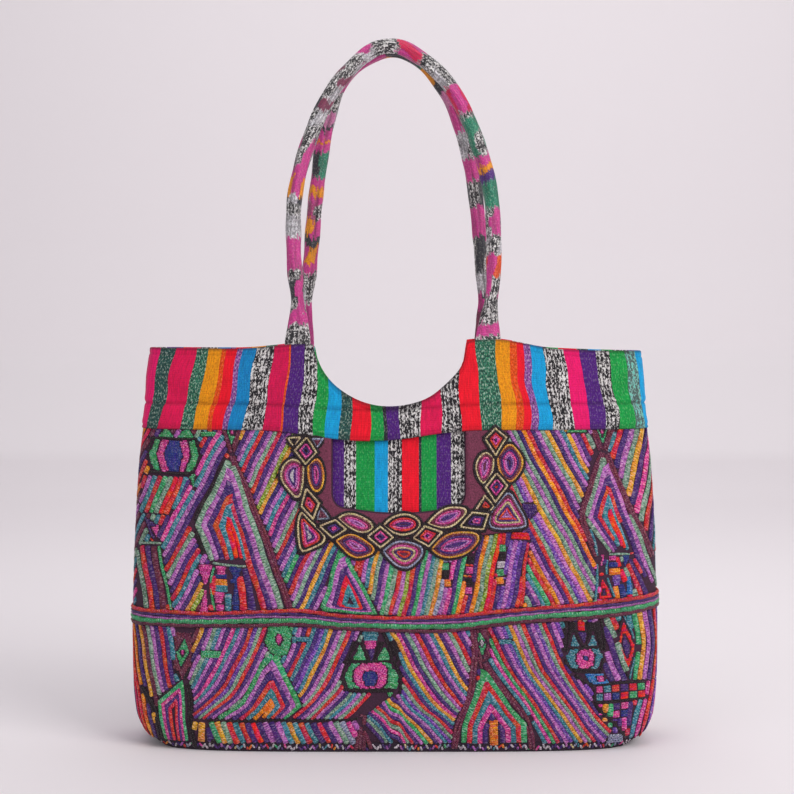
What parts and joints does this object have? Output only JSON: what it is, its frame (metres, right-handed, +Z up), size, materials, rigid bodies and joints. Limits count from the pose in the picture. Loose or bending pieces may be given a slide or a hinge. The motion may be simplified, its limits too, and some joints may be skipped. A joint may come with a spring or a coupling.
{
  "type": "tote bag",
  "caption": "Textile tote bag with a striped yoke scooped at the mouth, an embroidered body with a pointed collar, a braid over its seam, a flat base and two rolled handles.",
  "frame": {"origin": "middle of the flat underside of the base, on the surface that the bag stands on", "axes": "+Z up, +X to the right of the front face, -Y out of the front face with the neck opening and the collar"},
  "size_m": [0.4594, 0.1252, 0.6075],
  "materials": {
    "body_embroidery": "dense hand embroidery in many colours on dark cotton",
    "base_cloth": "dark plain woven cotton",
    "yoke_stripes": "striped woven cotton with tie-dyed warps",
    "inset_stripes": "striped woven cotton",
    "collar_embroidery": "outlined embroidery in cotton thread",
    "braid": "raised plaited cotton thread",
    "handle_cloth": "rolled striped woven cotton with tie-dyed bands"
  },
  "bodies": {
    "root": {"front_body": "body_embroidery", "back_body": "body_embroidery", "base_panel": "base_cloth", "front_yoke": "yoke_stripes", "back_yoke": "yoke_stripes", "neck_inset": "inset_stripes", "collar": "collar_embroidery", "seam_braid": "braid", "front_handle": "handle_cloth", "back_handle": "handle_cloth"}
  },
  "joints": []
}
